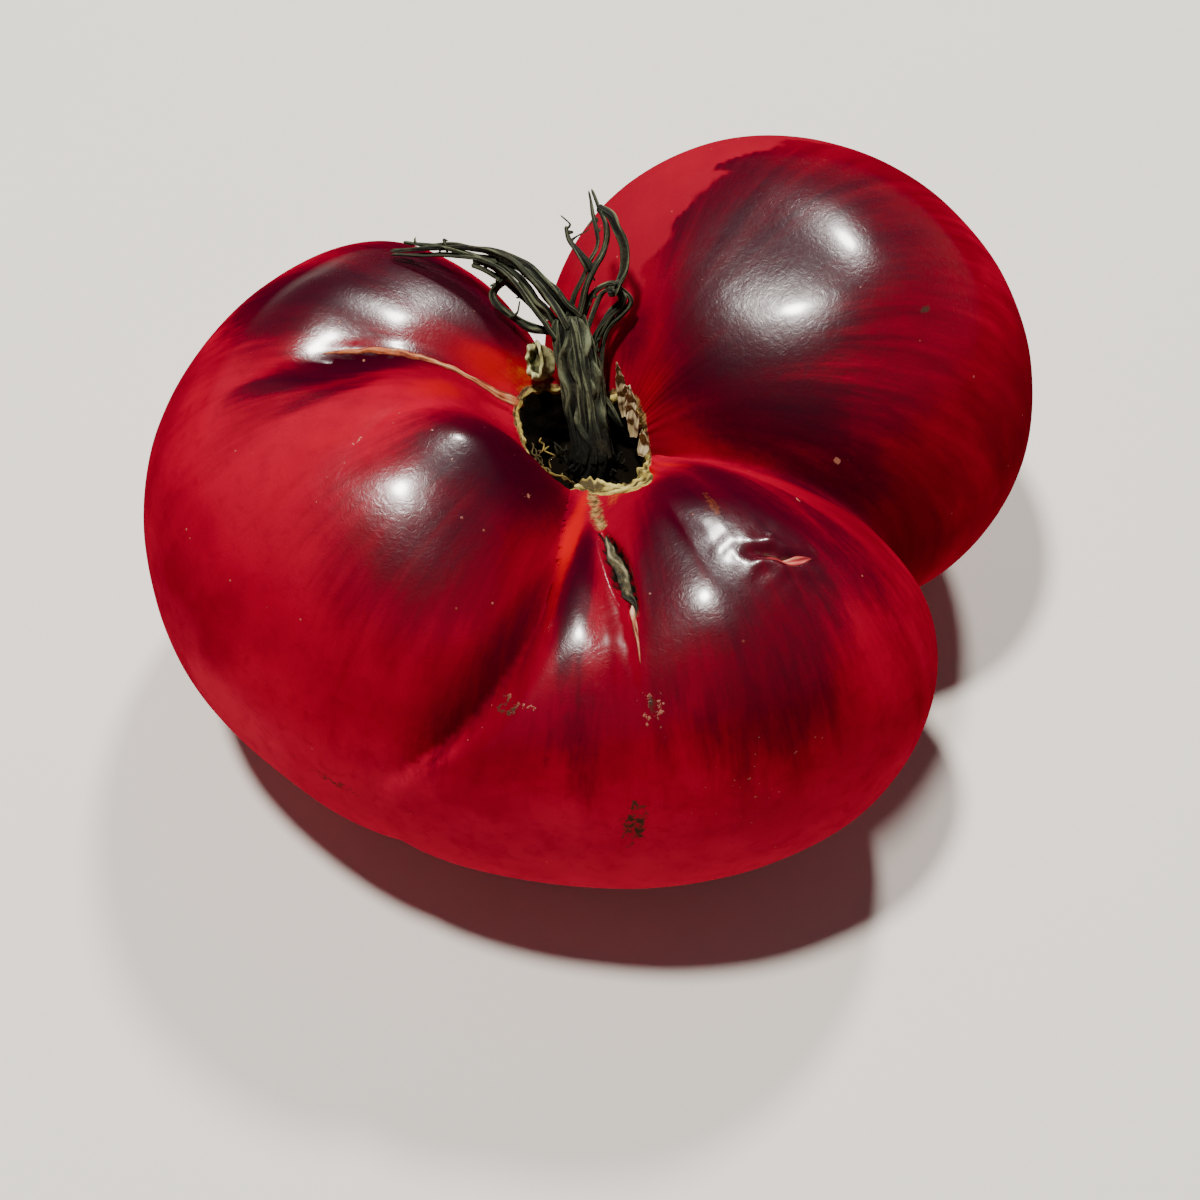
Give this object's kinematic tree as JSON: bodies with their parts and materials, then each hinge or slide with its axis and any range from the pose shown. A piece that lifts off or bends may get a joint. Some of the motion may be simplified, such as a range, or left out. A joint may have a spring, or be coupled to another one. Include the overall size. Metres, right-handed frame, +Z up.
{
  "type": "heirloom tomato",
  "caption": "Large fused beefsteak tomato with deep lobes, an open cleft behind, and a dried calyx standing in its stem well.",
  "frame": {"origin": "on the surface the tomato rests on, under the middle of its bounding box", "axes": "+Z up, +X to the right of the front view, -Y towards the viewer; the open cleft is at +Y"},
  "size_m": [0.1266, 0.112, 0.0724],
  "materials": {
    "skin": "glossy tomato skin, deep red with dark purple shoulders",
    "dried_calyx": "dull, dry, ribbed grey-green",
    "dried_stalk": "pale, dull, broken pith",
    "cork": "rough tan cork round the stem well and in old scars"
  },
  "bodies": {
    "root": {"fruit": "skin", "calyx": "dried_calyx", "stalk": "dried_stalk"}
  },
  "joints": []
}
